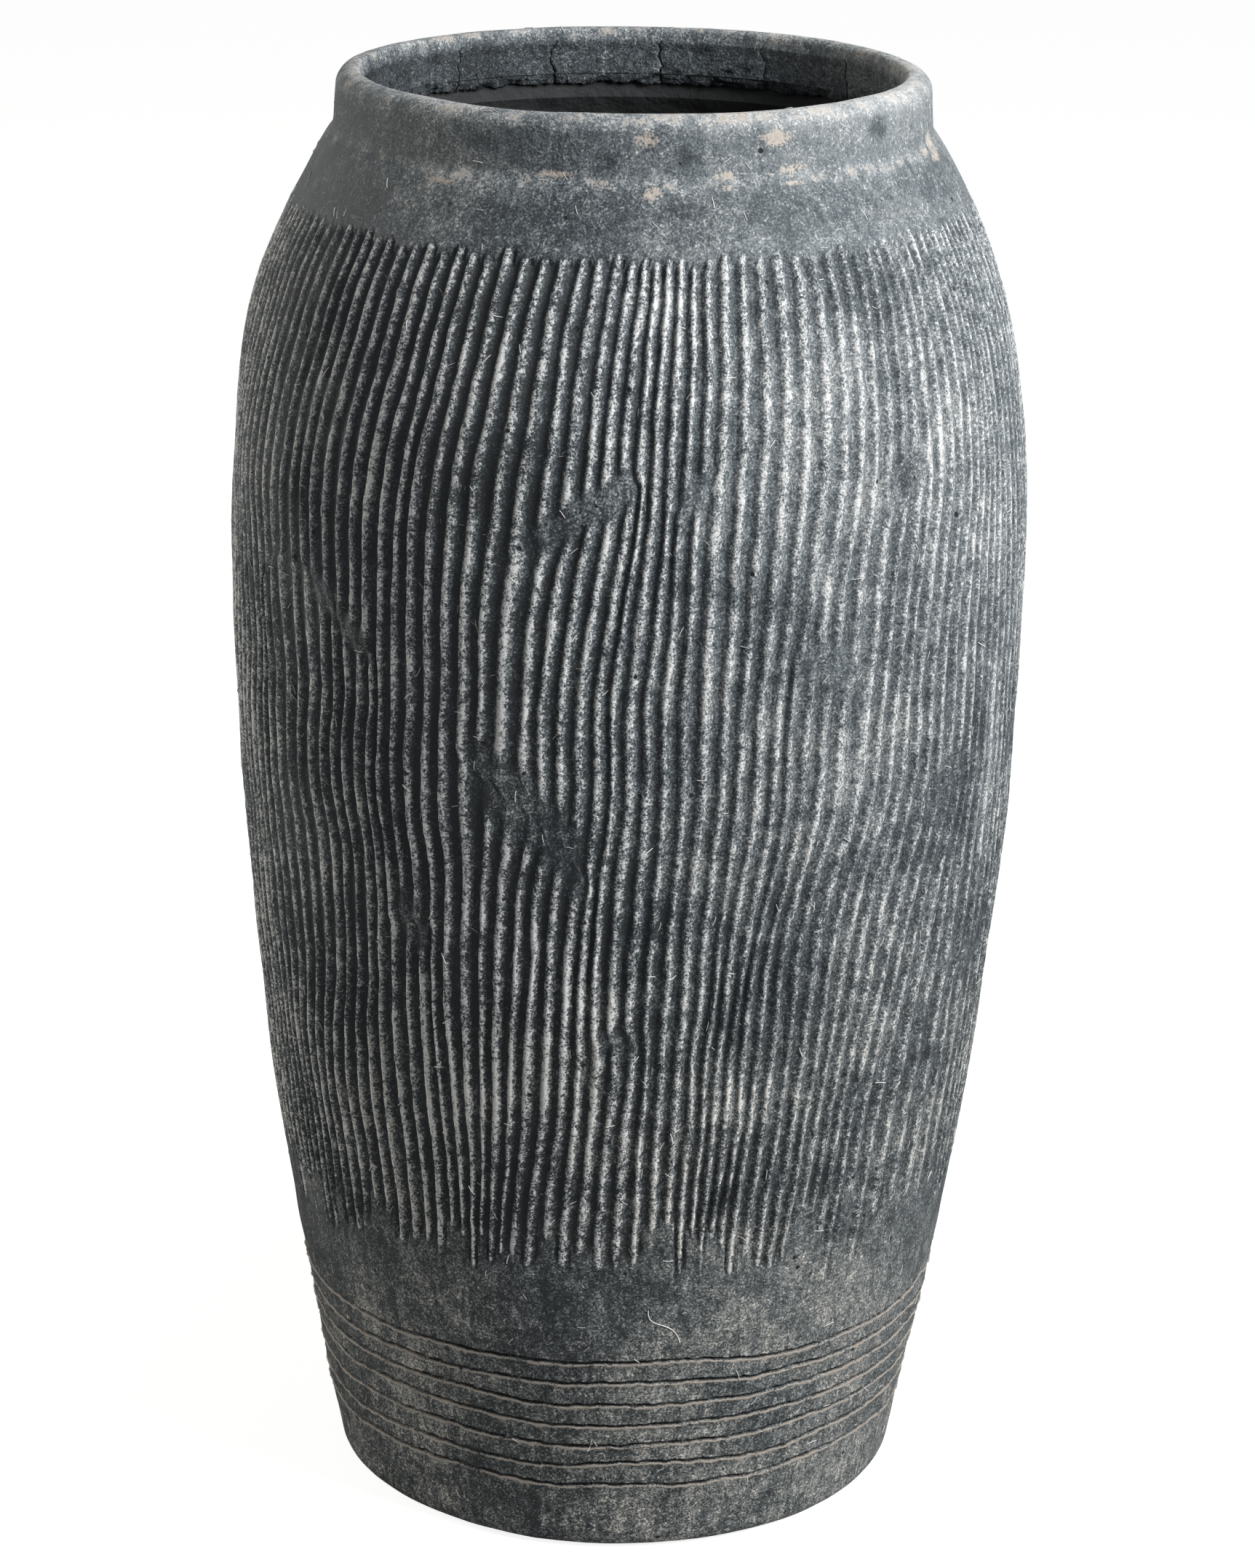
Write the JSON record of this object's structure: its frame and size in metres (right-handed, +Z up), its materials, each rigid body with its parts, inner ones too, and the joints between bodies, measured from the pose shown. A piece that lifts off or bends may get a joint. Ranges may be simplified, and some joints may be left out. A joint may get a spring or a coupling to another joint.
{
  "type": "urn vase",
  "caption": "Tall shouldered urn vase with a rolled collar, combed vertical ribs on its body and scored rings round its tapering foot, open at the mouth.",
  "frame": {"origin": "centre of the base, in the plane that the vase stands on", "axes": "+Z up the axis of the vase, out of its mouth; X and Y lie in the plane that it stands on"},
  "size_m": [0.3316, 0.3316, 0.6],
  "materials": {
    "fibre_clay": "matte charcoal wash, dry-brushed pale grey",
    "combed_clay": "matte charcoal wash in the grooves, pale grey on the ridges",
    "lining_clay": "rough matte charcoal",
    "luting_slip": "matte dark grey"
  },
  "bodies": {
    "root": {"base_slab": "fibre_clay", "base_seam_coil": "luting_slip", "foot_section": "fibre_clay", "lower_body_section": "combed_clay", "upper_body_section": "combed_clay", "shoulder_section": "combed_clay", "neck_collar": "fibre_clay", "collar_lining_pads": "lining_clay", "collar_seam_coil": "luting_slip"}
  },
  "joints": []
}
